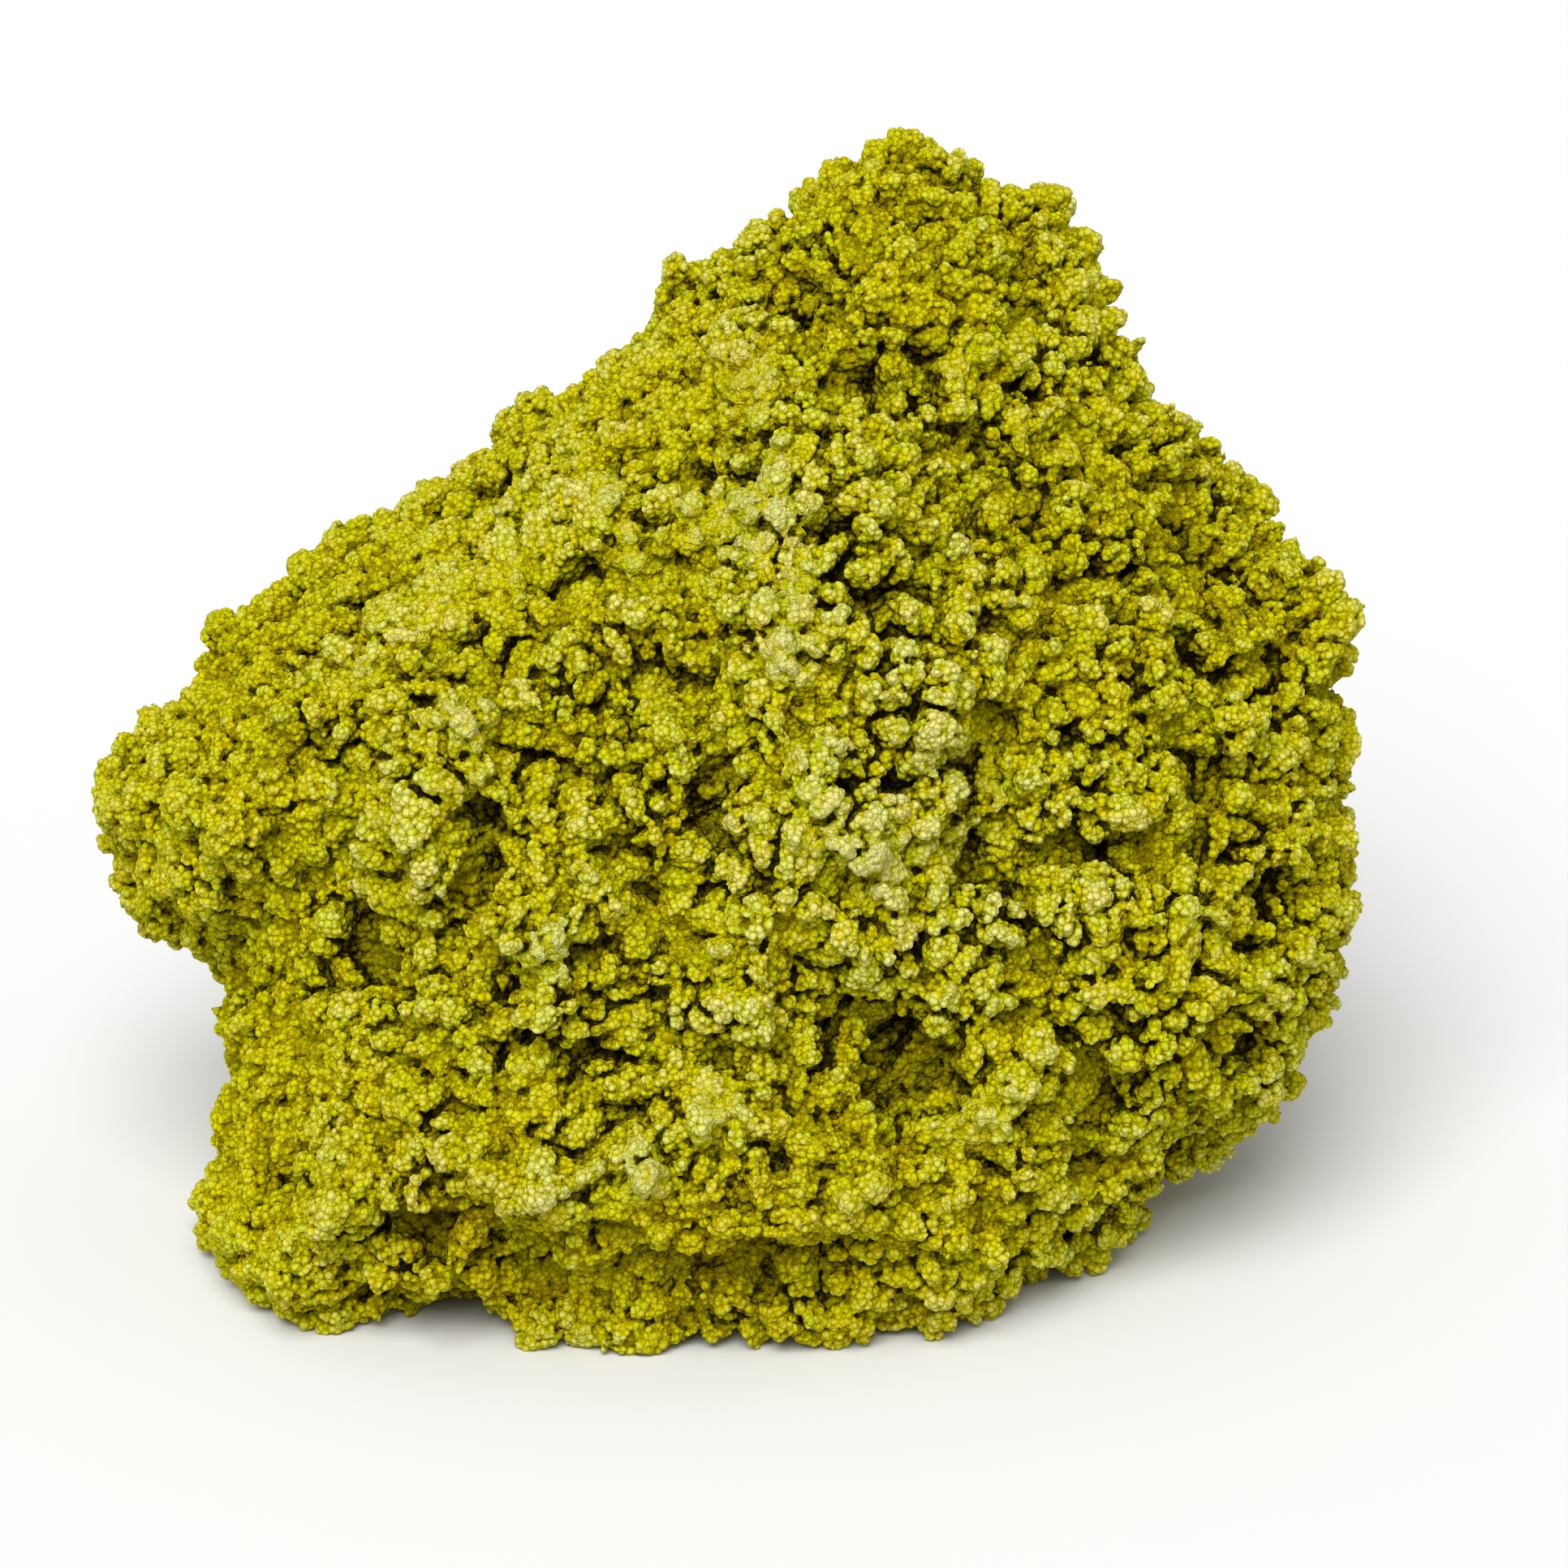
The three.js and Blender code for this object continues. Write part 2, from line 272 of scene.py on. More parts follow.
# Ridges, knobs, grooves and pits of the face: from s and t, to s and t, half the width, and the height,
# which is below 0 for a hollow.
STROKES = [
    (-2.4, 33, -1.5, 22, 2.2, 0.5), (-1.5, 22, 0.5, 9, 2.0, 0.6), (0.5, 9, 3, -3, 1.8, 0.5),
    (-4, 19, -14, 19, 2.0, 0.7), (-14, 19, -34, 6.5, 1.8, 0.9), (-32.5, 4, -31, -7, 1.8, 0.9),
    (-26, -3, -24.5, -14, 1.6, 1.1), (-17, -29, -9.9, -27, 1.8, 1.2),
    (-9.9, -27, -2.5, -21.5, 1.6, 1.4), (-22.7, 4, -22.7, 4, 2.0, 1.3),
    (-16.3, -11.6, -16.3, -11.6, 2.0, 1.5), (7.3, -5.1, 5.5, -3.5, 2.2, 0.8),
    (-28.6, -6, -27.6, -15, 1.0, -1.2), (-36, -2, -34, -10, 1.4, -0.8),
    (-33.4, 5.5, -34.5, 1, 1.3, -1.2), (-22.1, -5, -22.1, -8, 1.2, -1.0),
    (-6.6, 6.5, -5.5, 4, 1.4, -1.8), (-5, 1.2, -5, 0, 1.2, -1.4), (-10.7, 9.8, -10.7, 9.8, 1.3, -1.6),
    (-12.5, 27.5, -12.5, 27.5, 1.4, -1.2), (-21, 14.4, -21, 14.4, 1.4, -1.2),
    (-29.6, 15.2, -28, 14.5, 1.5, -1.3), (1.4, 33.4, 1.4, 33.4, 1.6, -2.0),
    (5.1, 27.7, 3.8, 28.2, 1.5, -1.8), (12.1, 24.5, 12.1, 22.5, 1.3, -1.8),
    (12.6, 19, 13.4, 18.4, 1.3, -2.0), (28.1, 17, 27, 16.6, 1.7, -2.4),
    (29.7, 12.5, 30.4, 11.5, 1.6, -2.2), (21.7, 14.7, 21, 15.5, 1.5, -2.2),
    (24.4, 9.3, 24.4, 9.3, 1.4, -2.0), (15.3, 3.4, 14.4, 3, 1.3, -1.4), (26, 4.2, 26.8, 3.2, 1.2, -1.2),
    (29.7, 0.2, 29.7, -1, 1.3, -1.2), (14.5, -4.6, 19, -4.9, 1.2, -0.9),
    (23, -4.9, 28, -4.0, 1.2, -0.9), (34, -8.3, 33.6, -11, 1.5, -2.2),
    (31.9, -18, 31.4, -19, 1.9, -2.6), (21.2, -20.1, 21.2, -21, 1.5, -2.2),
    (4.6, -17, 6.5, -18, 1.4, -1.2), (10.5, -21.4, 9.4, -20, 1.4, -1.6),
    (-23.2, -30.8, -21.5, -31.2, 1.6, -1.6), (-12, -33.2, -1, -34.2, 1.7, -2.0),
    (-27, -31, -24, -31, 1.4, -0.8), (-20, -32.5, -12, -33, 1.6, -1.2), (-1, -34, 8, -33.5, 1.6, -1.4),
    (-3.4, -19.6, -3.4, -19.6, 1.3, -1.8), (14.8, -29.7, 14, -30.5, 1.5, -2.0),
    (-0.7, -26.4, 2.5, -26, 1.4, -1.6), (22, -27, 24, -26.5, 1.4, -1.6),
    (0, -10.5, 0, -10.5, 1.3, -1.5), (-9, -8.5, -9.6, -7.5, 1.2, -1.5),
    (-28.5, -37.2, -22, -36.6, 2.0, -2.8), (-15.5, -38.5, -12, -38.5, 2.0, 1.6),
    (-9.3, 35.6, -8, 34.5, 1.6, -1.6), (1.5, 43, 4, 44, 1.8, 1.8), (20.1, 38.2, 20.1, 38.2, 1.6, -0.9),
    (33.5, 19.4, 33.5, 19.4, 2.0, -1.4), (38.8, 13.6, 38.8, 13.6, 1.6, 1.2),
    (-40.3, 8.8, -40.3, 8.8, 1.8, -1.2), (29.2, -26, 29.2, -26, 1.8, -1.8),
    (27.6, 26, 27.6, 26, 1.8, 1.4), (-41.4, -28.1, -41.4, -28.1, 1.6, 1.4),
    (-19.4, 25.3, -24.8, 20, 1.5, -0.9), (8.3, 45.7, 8.3, 45.7, 1.6, -1.0),
]
WORN_EDGE = 1.6  # how coarse and how strong the raggedness of a worn place is
WORN_RAGGED = 0.35
WORN_LIMITS = (0.2, 0.75)
FACING_LIMITS = (-0.25, 0.3)


def closeness(s, t, region):
    """From 0 far off to 1 in the middle of a round region, which starts with its s, t and radius."""
    middle_s, middle_t, radius = region[:3]
    return np.exp(-((s - middle_s) ** 2 + (t - middle_t) ** 2) / radius**2)


def painted_tone(places):
    """How much paler a place is painted, as painted light, or darker below 0, as painted shade."""
    s, t = sight(places)
    return sum(region[3] * closeness(s, t, region) for region in PAINTED_TONE_REGIONS)


def regions(places, table):
    """How far places lie inside round regions, from 0 to each region's strength."""
    s, t = sight(places)
    inside = np.zeros(len(places))
    for region in table:
        inside = np.maximum(inside, region[3] * closeness(s, t, region))
    return inside


def worn_share(places):
    """From 0 to 1 where the grains have been rubbed flat, in patches with ragged edges."""
    ragged = WORN_RAGGED * swells(places, WORN_EDGE, CHANNELS["worn_edge"])
    return smoothstep(*WORN_LIMITS, regions(places, WORN_REGIONS) + ragged)


def facing(places, normals):
    """From 0 behind to 1 where a surface looks at the camera."""
    to_camera = unit(SIGHT_MIDDLE + OUT * DISTANCE - places)
    return smoothstep(*FACING_LIMITS, np.sum(normals * to_camera, axis=1))


# ---- Seen from outside ----
LOOK_WIDTH = 160  # wide enough for the lump from any direction
ASLANT = (0.31, 0.17, 0.94)  # sets how the view along a direction is turned


def seen_along(direction, corners, pixel, slack):
    """Which corners can be seen from far away along a direction, past the others.

    A corner is seen if it is no further than slack behind the nearest one in its pixel.
    """
    across = unit(np.cross(direction, ASLANT))
    up = np.cross(direction, across)
    side = int(LOOK_WIDTH / pixel)
    column, row = np.floor(np.stack((corners @ across, corners @ up)) / pixel).astype(int) + side // 2
    at = column * side + row
    depths = corners @ direction
    nearest = np.full(side * side, -np.inf)
    np.maximum.at(nearest, at, depths)
    return depths > nearest[at] - slack


def directions(count):
    """Directions spread evenly over a sphere."""
    n = np.arange(count) + 0.5
    z = 1 - 2 * n / count
    turn = n * math.pi * (1 + math.sqrt(5))
    flat = np.sqrt(1 - z * z)
    return np.stack((flat * np.cos(turn), flat * np.sin(turn), z), axis=1)


# ---- The skin and its clumps ----
WELD_METRES = 1e-6
STROKE_BEND = 1.5  # how far the edges of the strokes wander, and how coarsely
STROKE_BEND_SIZE = 2.2
DRAWN = 0.5  # how much a flow draws the clumps out in its middle
FLOW_RISE = 1.6
FLOW_PRESSED = 0.8  # how much a flow draws its own ridges out: at 1 they would be endless
FLOW_WIDTH = 3.0
FLOW_BEND = (5.0, 1.0)  # bends are how coarse and how far
CLUMP = 2.1  # how far apart clumps are
CLUMP_BEND = (3.5, 0.9)
CLUMP_EDGE = (1.3, 0.3)
CLUMP_RADIUS = 1.35
CLUMP_RISE = 1.4
CLUMP_FOOT = 1.35  # how far below the skin a clump starts
CLUMP_SPREAD = 1.6  # between the lowest clump and the highest
GROUP = 4.4  # how far apart the groups of clumps are that lie higher or lower together
GROUP_SPREAD = 1.4
SWELL = 5.0
SWELL_RISE = 0.4
GAP_WIDTH = 0.36
GAP_LEAST = 0.35  # the depth of the shallowest gaps, and how much deeper the deepest are
GAP_MORE = 2.3
GAP_PATCH = 2.2
GAP_LIMITS = (-0.4, 0.35)
FINE_LOSS = 0.55  # the share of their height that clumps lose in fine regions
WORN_LOSS = 0.5  # the share that clumps, lobes and grains lose where they are worn


def skin_arrays(levels):
    """The CAD solid with its facets rounded off."""
    corners, triangles = arrays_of(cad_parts["nontronite_lump"])
    return remake(
        corners, triangles,
        ("WELD", {"merge_threshold": WELD_METRES}),
        ("SUBSURF", {"levels": levels, "render_levels": levels}),
    )


def stroke_height(places, normals):
    """How far the ridges and pits that are seen on the face take the skin out."""
    s, t = sight(places)
    s = s + STROKE_BEND * swells(places, STROKE_BEND_SIZE, CHANNELS["stroke_s"])
    t = t + STROKE_BEND * swells(places, STROKE_BEND_SIZE, CHANNELS["stroke_t"])
    height = np.zeros(len(places))
    for from_s, from_t, to_s, to_t, width, rise in STROKES:
        run = np.array((to_s - from_s, to_t - from_t))
        along = (s - from_s) * run[0] + (t - from_t) * run[1]
        along = np.clip(along / max(run @ run, TINY), 0, 1)
        away = (s - from_s - along * run[0]) ** 2 + (t - from_t - along * run[1]) ** 2
        height += rise * np.exp(-away / width**2)
    return height * facing(places, normals)


def drawn_out(places):
    """Places pressed together along each flow, which makes a pattern that is laid on them longer there."""
    s, t = sight(places)
    for middle_s, middle_t, radius, run_s, run_t in FLOWS:
        away_s, away_t = s - middle_s, t - middle_t
        along = (away_s * run_s + away_t * run_t) * np.exp(-(away_s**2 + away_t**2) / radius**2)
        places = places - DRAWN * along[:, None] * (run_s * RIGHT + run_t * UP)
    return places


def flow_height(places):
    """How far the long ridges along each flow take the skin out."""
    s, t = sight(places)
    height = np.zeros(len(places))
    for n, flow in enumerate(FLOWS):
        run = flow[3] * RIGHT + flow[4] * UP
        pressed = places - FLOW_PRESSED * (places @ run)[:, None] * run
        bent = warped(pressed, *FLOW_BEND, CHANNELS["flow_bend"])
        share = closeness(s, t, flow)
        height += FLOW_RISE * share * swells(bent, FLOW_WIDTH, CHANNELS["flow"] + n)
    return height


def clump_height(places, normals):
    """How far the clumps and all that is as large as they are take the skin out."""
    bent = warped(drawn_out(places), *CLUMP_BEND, CHANNELS["clump_bend"])
    bent = warped(bent, *CLUMP_EDGE, CHANNELS["clump_edge"])
    first, second, own = cells(bent, CLUMP, CHANNELS["clump"])
    height = CLUMP_RISE * dome(first, CLUMP_RADIUS) - CLUMP_FOOT + CLUMP_SPREAD * (own - 0.5)
    _, _, group = cells(bent, GROUP, CHANNELS["group"])
    height += GROUP_SPREAD * (group - 0.5) + SWELL_RISE * swells(places, SWELL, CHANNELS["swell"])
    gap = 1 - smoothstep(0, GAP_WIDTH, second - first)
    deep = smoothstep(*GAP_LIMITS, swells(places, GAP_PATCH, CHANNELS["gap_depth"]))
    rough = (1 - FINE_LOSS * regions(places, FINE_REGIONS)) * (1 - WORN_LOSS * worn_share(places))
    height = rough * (height - gap * (GAP_LEAST + GAP_MORE * deep))
    return height + flow_height(places) + stroke_height(places, normals)


# ---- The dense mesh ----
SHAPING_LEVELS = 3  # how often the skin's triangles are divided before it is shaped
VOXEL = 0.2
ALL_TRIANGLES = 995_000
THINNING_VIEW = (0.25, 0.4)  # the pixel and the slack of a view
THINNING_AWAY = -0.1  # a corner that faces further away than this counts as out of view


def thinned(corners, triangles):
    """The arrays with fewer triangles where the camera doesn't look."""
    normals = corner_normals(corners, triangles)
    seen = seen_along(OUT, corners, *THINNING_VIEW) & (normals @ OUT > THINNING_AWAY)
    beside_seen = np.zeros(len(corners), bool)
    beside_seen[triangles[seen[triangles].any(axis=1)]] = True
    # In metres the modifier would round what each change costs to nothing, so it gets millimetres.
    thing = object_of("thinning", corners / MM, triangles)
    group = thing.vertex_groups.new(name="out_of_view")
    group.add(np.flatnonzero(~beside_seen).tolist(), 1.0, "REPLACE")
    modifier = thing.modifiers.new("thin", "DECIMATE")
    modifier.ratio = ALL_TRIANGLES / len(triangles)
    modifier.vertex_group = group.name
    modifier.vertex_group_factor = 0.001  # any value above 0 leaves corners outside the group alone
    corners, triangles = arrays_of(thing)
    corners *= MM
    bpy.data.meshes.remove(thing.data)
    return corners, triangles


def largest_body(corners, triangles):
    """The arrays without the loose scraps that stand apart from the largest body."""
    labels = np.arange(len(corners))
    before = None
    while not np.array_equal(labels, before):
        before = labels.copy()
        lowest = labels[triangles].min(axis=1)
        for k in range(3):
            np.minimum.at(labels, triangles[:, k], lowest)
        labels = labels[labels]
    body = labels[triangles[:, 0]]
    used, kept = np.unique(triangles[body == np.bincount(body).argmax()], return_inverse=True)
    return corners[used], kept.reshape(-1, 3)


def lump_arrays():
    """The lump with its clumps, as a dense mesh."""
    corners, triangles = skin_arrays(SHAPING_LEVELS)
    normals = corner_normals(corners, triangles)
    corners = above_floor(corners + normals * clump_height(corners, normals)[:, None])
    voxels = {"mode": "VOXEL", "voxel_size": VOXEL * MM}
    corners, triangles = remake(corners, triangles, ("REMESH", voxels))
    return largest_body(*thinned(corners, triangles))


# ---- Lobes and grains ----
LOBE = 1.0  # how far apart lobes are
LOBE_BEND = (0.8, 0.15)
LOBE_RADIUS = 0.75
LOBE_RISE = 0.3
LOBE_FOOT = 0.2  # how far inside the surface a lobe starts
CREASE_DEPTH = 0.12  # of the creases between lobes
CREASE_WIDTH = 0.2
# how wide the painted shade along the creases between lobes is
CREASE_SHADE_WIDTH = 0.25
WORN_LUMP = 1.0  # how coarse and how high the unevenness of worn places is
WORN_LUMP_RISE = 0.25
WORN_PIT = 0.5
WORN_PIT_RISE = 0.18
GRAIN = 0.48  # how far apart grains are
GRAIN_BEND = (0.35, 0.1)
GRAIN_DISORDER = 0.85
GRAIN_RADIUS = 0.8  # this one is a share of GRAIN
GRAIN_RISE = 0.28
GRAIN_FOOT = 0.14
GRAIN_UNSEEN = 0.4  # the share of their height that grains have where the mesh is thinned
GRAIN_VIEW = (0.25, 0.6)


def seed_distances(places):
    """The distance from each place to the nearest seed of cells 1 across, as the shader has them."""
    tree = bpy.data.node_groups.new("seed_distances", "GeometryNodeTree")
    for way in ("INPUT", "OUTPUT"):
        tree.interface.new_socket("Geometry", in_out=way, socket_type="NodeSocketGeometry")
    start = tree.nodes.new("NodeGroupInput")
    end = tree.nodes.new("NodeGroupOutput")
    place = tree.nodes.new("GeometryNodeInputPosition")
    found = tree.nodes.new("ShaderNodeTexVoronoi")
    found.inputs["Scale"].default_value = 1 / MM
    found.inputs["Randomness"].default_value = GRAIN_DISORDER
    store = tree.nodes.new("GeometryNodeStoreNamedAttribute")
    store.inputs["Name"].default_value = "distance"
    tree.links.new(place.outputs["Position"], found.inputs["Vector"])
    tree.links.new(start.outputs[0], store.inputs["Geometry"])
    tree.links.new(found.outputs["Distance"], store.inputs["Value"])
    tree.links.new(store.outputs["Geometry"], end.inputs[0])
    thing = object_of("seeds", places, np.empty((0, 3), int))
    thing.modifiers.new("cells", "NODES").node_group = tree
    mesh = evaluated_mesh(thing)
    distances = np.empty(len(places), np.float32)
    mesh.attributes["distance"].data.foreach_get("value", distances)
    bpy.data.meshes.remove(mesh)
    bpy.data.meshes.remove(thing.data)
    bpy.data.node_groups.remove(tree)
    return distances.astype(float)


def worn_height(places):
    """How far the unevenness of worn places takes the surface out."""
    lumps = WORN_LUMP_RISE * swells(places, WORN_LUMP, CHANNELS["worn_lumps"])
    pits = WORN_PIT_RISE * swells(places, WORN_PIT, CHANNELS["worn_pits"])
    return lumps + pits


def with_grains(corners, triangles):
    """The corners moved by lobes and grains, and what the material has to know of these."""
    seen = seen_along(OUT, corners, *GRAIN_VIEW)
    normals = corner_normals(corners, triangles)
    worn = worn_share(corners)
    first, second, _ = cells(warped(corners, *LOBE_BEND, CHANNELS["lobe_bend"]), LOBE, CHANNELS["lobe"])
    crease = CREASE_DEPTH * (1 - smoothstep(0, CREASE_WIDTH, second - first))
    height = LOBE_RISE * dome(first, LOBE_RADIUS) - crease - LOBE_FOOT
    height = height * (1 - WORN_LOSS * worn) + worn * worn_height(corners)
    corners = corners + normals * height[:, None]
    normals = corner_normals(corners, triangles)
    grain_place = warped(corners, *GRAIN_BEND, CHANNELS["grain_bend"]) / GRAIN
    height = GRAIN_RISE * dome(seed_distances(grain_place), GRAIN_RADIUS) - GRAIN_FOOT
    height = height * np.where(seen, 1 - WORN_LOSS * worn, GRAIN_UNSEEN)
    corners = above_floor(corners + normals * height[:, None])
    # From 0 at a crease between lobes to 1 inside a lobe; the material paints shade into the creases with
    # it.
    outside_crease_shade = smoothstep(0, CREASE_SHADE_WIDTH, second - first)
    return corners, {"lobe": outside_crease_shade, "grain_place": grain_place}


# ---- The pieces ----
PIECES = 6
MEASURING_LEVELS = 1  # how often the skin's triangles are divided to measure heights above it
SKY_DIRECTIONS = 40
SKY_VIEW = (0.4, 0.4)


def heights_above(skin, places):
    """How far places are above the skin, below 0 inside it."""
    tree = BVHTree.FromPolygons(skin[0].tolist(), skin[1].tolist())
    heights = np.empty(len(places))
    for n, place in enumerate(places.tolist()):
        near, normal, _, _ = tree.find_nearest(place)
        heights[n] = (Vector(place) - near).dot(normal)
    return heights


def openness(corners):
    """How much of the space around each corner it can be seen from: 1 is half of all directions."""
    seen = sum(seen_along(way, corners, *SKY_VIEW) for way in directions(SKY_DIRECTIONS))
    return seen / (SKY_DIRECTIONS / 2)


def sliced(corners, triangles, attributes):
    """Parts the surface of the lump from left to right. The shared edges and normals match exactly."""
    normals = corner_normals(corners, triangles)
    order = np.argsort(corners[triangles].mean(axis=1) @ RIGHT)
    pieces = []
    for n, share in enumerate(np.array_split(order, PIECES)):
        used, faces = np.unique(triangles[share], return_inverse=True)
        values = {key: value[used] for key, value in attributes.items()}
        piece = object_of(f"lump_{n + 1}", corners[used], faces.reshape(-1, 3), **values)
        piece.data.normals_split_custom_set_from_vertices(normals[used].tolist())
        pieces.append(piece)
    return pieces


def make_pieces():
    corners, triangles = lump_arrays()
    corners, attributes = with_grains(corners, triangles)
    attributes["worn"] = worn_share(corners)
    attributes["earth"] = regions(corners, EARTH_REGIONS)
    attributes["painted_tone"] = painted_tone(corners)
    attributes["height"] = heights_above(skin_arrays(MEASURING_LEVELS), corners)
    attributes["open"] = openness(corners)
    return sliced(corners, triangles, attributes)


# ---- Clay ----
# Painted shade: black, deep in the gaps where little light reaches.
PAINTED_GAP_SHADE = (0.02, 0.014, 0.0002)
# DEEP, MIDDLE and PALE are chosen by the level, which paints light and shade besides the clay's own
# changes:
DEEP = (0.33, 0.288, 0.0003)
MIDDLE = (0.52, 0.498, 0.0004)
PALE = (0.63, 0.615, 0.19)
# Painted shade in the creases between grains:
PAINTED_CREASE_SHADE = (0.13, 0.085, 0.0005)
GREENER = (0.94, 1.0, 1.0)  # this and the next two are multiplied in
BROWNER = (1.04, 0.97, 1.0)
EARTH = (0.94, 0.85, 0.9)
# Noise: the size in millimetres, the detail and the roughness.
FLECKS = (0.3, 3, 0.75)
PATCHES = (5, 1, 0.5)
HUES = (2.2, 2, 0.6)
CRUMBS = (0.45, 2, 0.7)
SPECKS = (0.14, 1, 0.7)
# The level of a place sets how pale it is. It starts here, and each measure adds this much. Height, sky,
# top and lobe paint light on high and open places and on the tops of grains, and shade into recesses and
# the creases between lobes; height also stands for chalky tops. Tone is painted light and shade in patches.
LEVEL_START = -0.79
LEVEL_SHARES = {
    "height": 0.17, "sky": 0.5, "top": 0.36, "lobe": 0.2, "tint": 0.16, "flecks": 0.5,
    "patches": 0.4, "worn": 0.12, "painted_tone": 1.0,
}
# What a measure goes from and to while its effect goes from least to most.
SKY_LIMITS = (0.05, 0.65)
MIDDLE_LIMITS = (0.0, 0.45)
PALE_LIMITS = (0.45, 1.25)
FLAT_LIMITS = (0.1, 1.2)
WALL_LIMITS = (0.0, 0.2)
HUE_LIMITS = (0.3, 0.7)
EARTH_LIMITS = (0.3, 0.6)
LIT_LIMITS = (0.1, 0.28)
TOP_FALL = -1.56  # from the top of a grain, times the square of the distance from its seed
CREASE_SHADE_MOST = 0.45  # how dark the painted shade in the creases between grains is, and how much less where it is flat
CREASE_SHADE_FLAT = -0.35
EARTH_LEAST = 0.4
GAP_SHADE_FLECKS = 0.1  # how far flecks break up the edges of the painted black shade in the gaps
TOP_RELIEF = 0.18  # how high the grains stand in the relief, and how much less where it is flat
TOP_FLAT = -0.06
CRUMB_RELIEF = 0.2
CRUMB_FLAT = 0.5
SPECK_RELIEF = 0.07
RELIEF_DEPTH = 1.0
ROUGHNESS = 0.95
SHINE = 0.05


class Nodes:
    """Short calls for building a shader."""

    def __init__(self, tree):
        self.tree = tree

    def add(self, kind, **settings):
        node = self.tree.nodes.new("ShaderNode" + kind)
        for key, value in settings.items():
            setattr(node, key, value)
        return node

    def put(self, value, socket):
        """Links a socket to another one, or sets it to a value."""
        if isinstance(value, bpy.types.NodeSocket):
            self.tree.links.new(value, socket)
        else:
            socket.default_value = value

    def attribute(self, name, output="Fac"):
        return self.add("Attribute", attribute_name=name).outputs[output]

    def math(self, operation, *values):
        node = self.add("Math", operation=operation)
        for value, socket in zip(values, node.inputs):
            self.put(value, socket)
        return node.outputs[0]

    def times_plus(self, a, b, c):
        return self.math("MULTIPLY_ADD", a, b, c)

    def ramp(self, value, limits, results=(0.0, 1.0)):
        """Goes smoothly from the first result to the second, while the value does between its limits."""
        node = self.add("MapRange", interpolation_type="SMOOTHSTEP")
        names = ("Value", "From Min", "From Max", "To Min", "To Max")
        for name, given in zip(names, (value, *limits, *results)):
            self.put(given, node.inputs[name])
        return node.outputs[0]

    def mix(self, share, a, b, blend="MIX"):
        """A colour from a to b. The numbers are those of the node's sockets for colours."""
        node = self.add("Mix", data_type="RGBA", blend_type=blend)
        self.put(share, node.inputs[0])
        for colour, socket in ((a, node.inputs[6]), (b, node.inputs[7])):
            self.put((*colour, 1) if isinstance(colour, tuple) else colour, socket)
        return node.outputs[2]

    def noise(self, size_mm, detail, roughness):
        node = self.add("TexNoise")
        self.put(self.add("TexCoord").outputs["Object"], node.inputs["Vector"])
        self.put(1 / (size_mm * MM), node.inputs["Scale"])
        self.put(detail, node.inputs["Detail"])
        self.put(roughness, node.inputs["Roughness"])
        return node.outputs["Fac"]

    def grains(self):
        """The distances from a grain's seed and from its nearest wall, and its own number."""
        place = self.attribute("grain_place", "Vector")
        found = []
        for feature, output in (("F1", "Distance"), ("DISTANCE_TO_EDGE", "Distance"), ("F1", "Color")):
            node = self.add("TexVoronoi", feature=feature)
            self.put(place, node.inputs["Vector"])
            self.put(1.0, node.inputs["Scale"])
            self.put(GRAIN_DISORDER, node.inputs["Randomness"])
            found.append(node.outputs[output])
        return found

    def bump(self, height, depth_mm):
        node = self.add("Bump")
        self.put(1.0, node.inputs["Strength"])
        self.put(depth_mm * MM, node.inputs["Distance"])
        self.put(height, node.inputs["Height"])
        return node.outputs["Normal"]


def clay_measures(nodes):
    """What the colour and the relief of the clay depend on."""
    measures = {name: nodes.attribute(name) for name in ("height", "lobe", "worn", "painted_tone", "open", "earth")}
    seed, wall, tint = nodes.grains()
    top = nodes.times_plus(nodes.math("MULTIPLY", seed, seed), TOP_FALL, 1.0)
    measures.update(top=top, wall=wall, tint=tint)
    measures.update(flecks=nodes.noise(*FLECKS), patches=nodes.noise(*PATCHES))
    measures["sky"] = nodes.ramp(measures["open"], SKY_LIMITS)
    measures["flat"] = nodes.ramp(measures["worn"], FLAT_LIMITS)
    return measures


def clay_colour(nodes, measures):
    """Paler the higher and the more open a place is, as painted light besides chalky tops, and painted
    shade: brown in creases and black deep in gaps.
    """
    level = LEVEL_START
    for name, share in LEVEL_SHARES.items():
        level = nodes.times_plus(measures[name], share, level)
    colour = nodes.mix(nodes.ramp(level, MIDDLE_LIMITS), DEEP, MIDDLE)
    colour = nodes.mix(nodes.ramp(level, PALE_LIMITS), colour, PALE)
    # Painted shade in the creases between grains, weaker where the grains are rubbed flat.
    crease = nodes.ramp(measures["wall"], WALL_LIMITS, (CREASE_SHADE_MOST, 0.0))
    crease = nodes.math("MULTIPLY", crease, nodes.times_plus(measures["flat"], CREASE_SHADE_FLAT, 1.0))
    colour = nodes.mix(crease, colour, PAINTED_CREASE_SHADE)
    hue = nodes.mix(nodes.ramp(nodes.noise(*HUES), HUE_LIMITS), GREENER, BROWNER)
    colour = nodes.mix(1.0, colour, hue, "MULTIPLY")
    patchy = nodes.ramp(measures["patches"], EARTH_LIMITS, (EARTH_LEAST, 1.0))
    earthy = nodes.math("MULTIPLY", measures["earth"], patchy)
    colour = nodes.mix(earthy, colour, nodes.mix(1.0, colour, EARTH, "MULTIPLY"))
    # Painted shade: black where a place is too closed in to be lit, with flecks breaking up its edge.
    lit = nodes.times_plus(measures["flecks"], GAP_SHADE_FLECKS, measures["open"])
    return nodes.mix(nodes.ramp(lit, LIT_LIMITS), PAINTED_GAP_SHADE, colour)


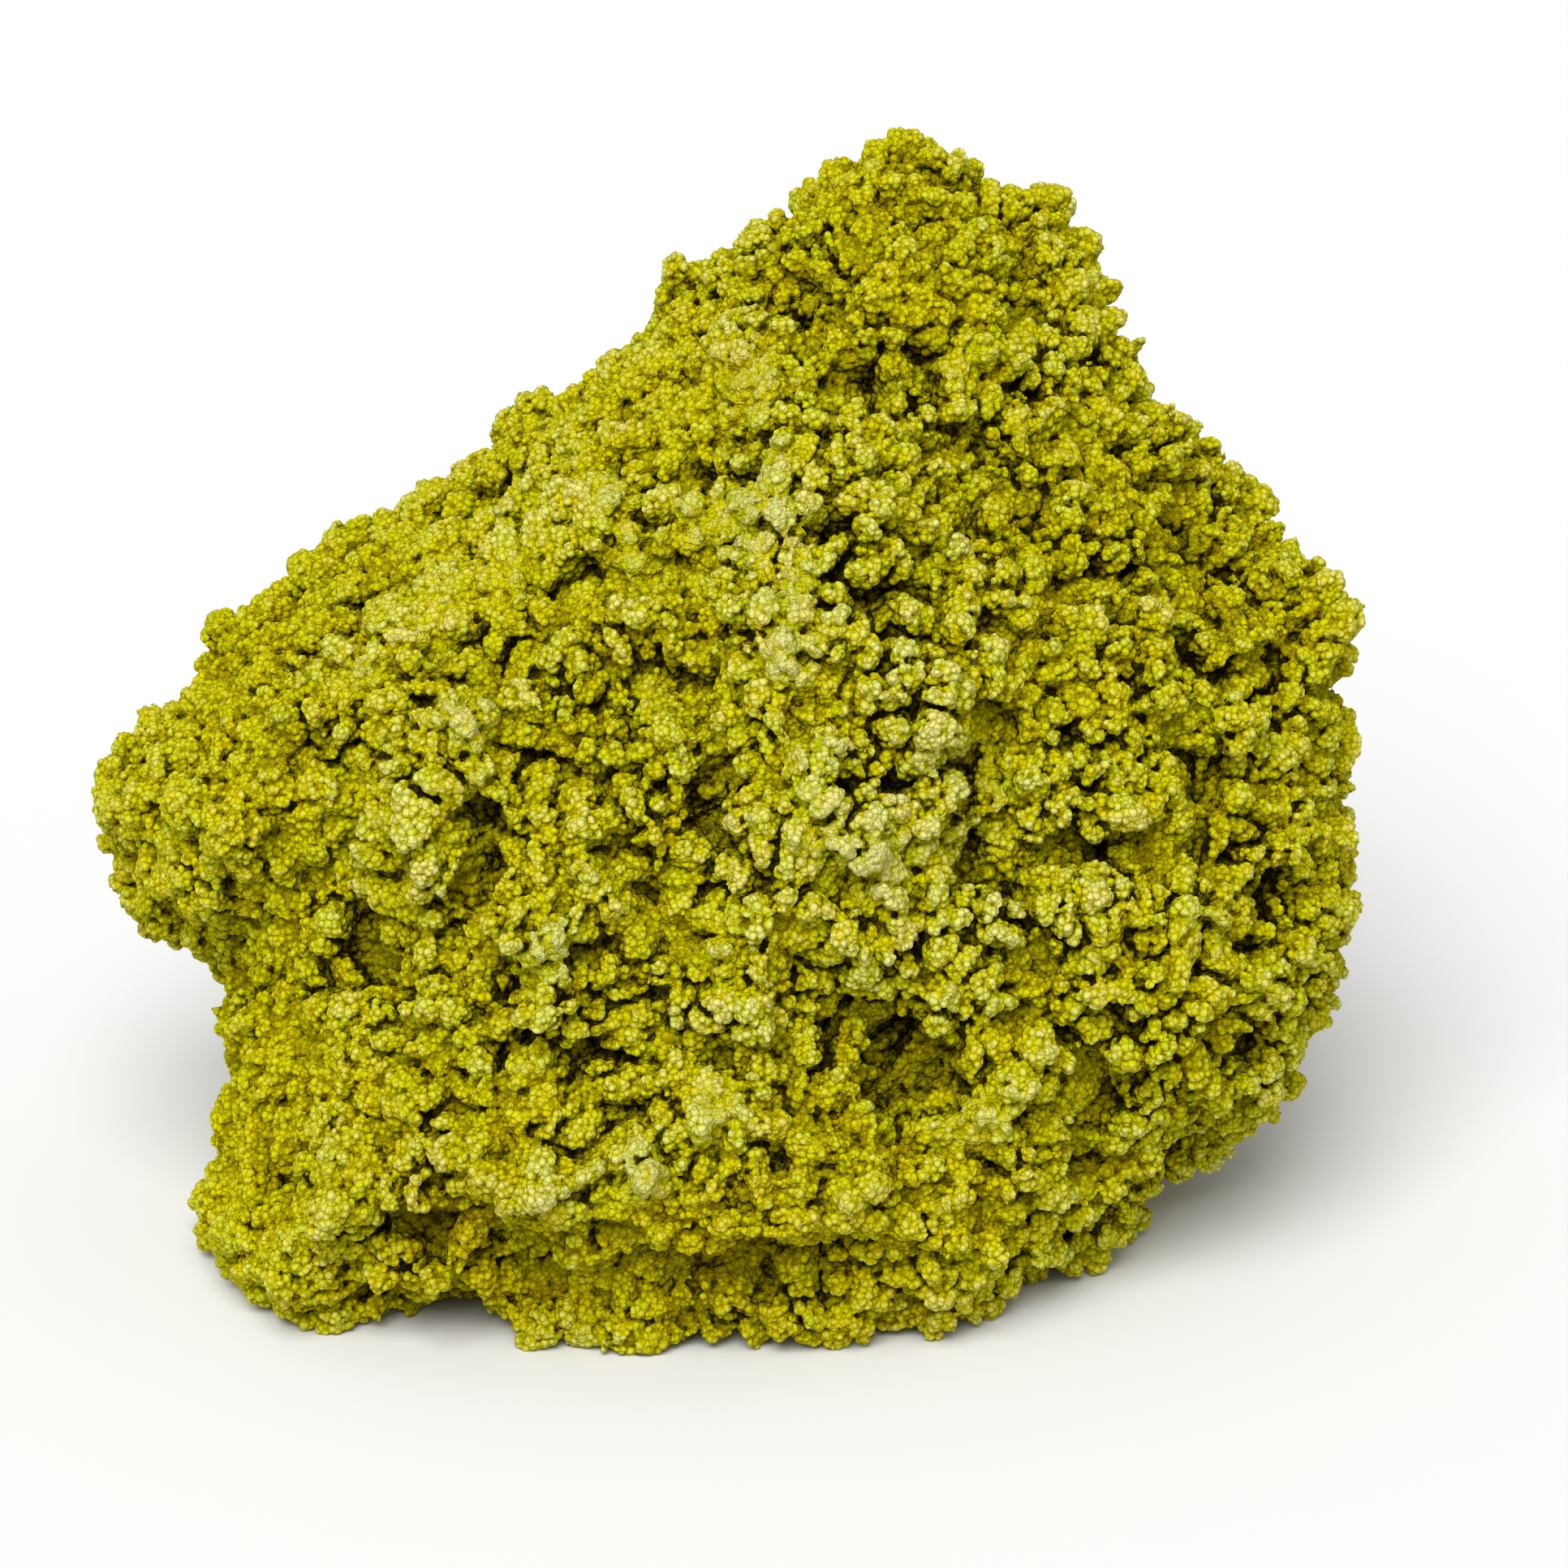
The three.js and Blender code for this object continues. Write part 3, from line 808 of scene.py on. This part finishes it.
def clay_relief(nodes, measures):
    """The grains, and what is finer than they are."""
    flat = measures["flat"]
    relief = nodes.math("MULTIPLY", measures["top"], nodes.times_plus(flat, TOP_FLAT, TOP_RELIEF))
    crumbs = nodes.times_plus(flat, CRUMB_FLAT, CRUMB_RELIEF)
    relief = nodes.times_plus(nodes.noise(*CRUMBS), crumbs, relief)
    relief = nodes.times_plus(nodes.noise(*SPECKS), SPECK_RELIEF, relief)
    return nodes.bump(relief, RELIEF_DEPTH)


def clay():
    material = bpy.data.materials.new("nontronite_clay")
    material.use_nodes = True
    nodes = Nodes(material.node_tree)
    shader = material.node_tree.nodes["Principled BSDF"]
    measures = clay_measures(nodes)
    nodes.put(clay_colour(nodes, measures), shader.inputs["Base Color"])
    nodes.put(clay_relief(nodes, measures), shader.inputs["Normal"])
    shader.inputs["Roughness"].default_value = ROUGHNESS
    shader.inputs["Specular IOR Level"].default_value = SHINE
    return material


# ---- The studio ----
FLOOR_HALF = 3000.0
FLOOR_COLOUR = (0.74, 0.74, 0.74)
FLOOR_ROUGHNESS = 0.9
WORLD_COLOUR = (1, 1, 1)
WORLD_STRENGTH = 0.53
KEY_STRENGTH = 3.5
KEY_ANGLE = math.radians(40)
KEY_FROM = (-0.13, -0.65, 0.75)


def make_floor():
    square = FLOOR_HALF * np.array([(-1, -1, 0), (1, -1, 0), (1, 1, 0), (-1, 1, 0)])
    floor = object_of("floor", square, np.array([(0, 1, 2), (0, 2, 3)]))
    material = bpy.data.materials.new("floor")
    material.use_nodes = True
    shader = material.node_tree.nodes["Principled BSDF"]
    shader.inputs["Base Color"].default_value = (*FLOOR_COLOUR, 1)
    shader.inputs["Roughness"].default_value = FLOOR_ROUGHNESS
    floor.data.materials.append(material)


def make_lights():
    """A white sky all round, and a broad soft light from above and a little left of the camera."""
    world = bpy.data.worlds.new("world")
    world.use_nodes = True
    sky = world.node_tree.nodes["Background"]
    sky.inputs["Color"].default_value = (*WORLD_COLOUR, 1)
    sky.inputs["Strength"].default_value = WORLD_STRENGTH
    bpy.context.scene.world = world
    light = bpy.data.lights.new("key", "SUN")
    light.energy = KEY_STRENGTH
    light.angle = KEY_ANGLE
    key = bpy.data.objects.new("key", light)
    bpy.context.collection.objects.link(key)
    key.rotation_euler = Vector(KEY_FROM).to_track_quat("Z", "Y").to_euler()


# ---- Everything ----
material = clay()
pieces = make_pieces()
for piece in pieces:
    piece.data.materials.append(material)
    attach(piece, "root")
    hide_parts("nontronite_lump")
make_camera()
make_floor()
make_lights()
bpy.context.scene.view_settings.view_transform = "Standard"
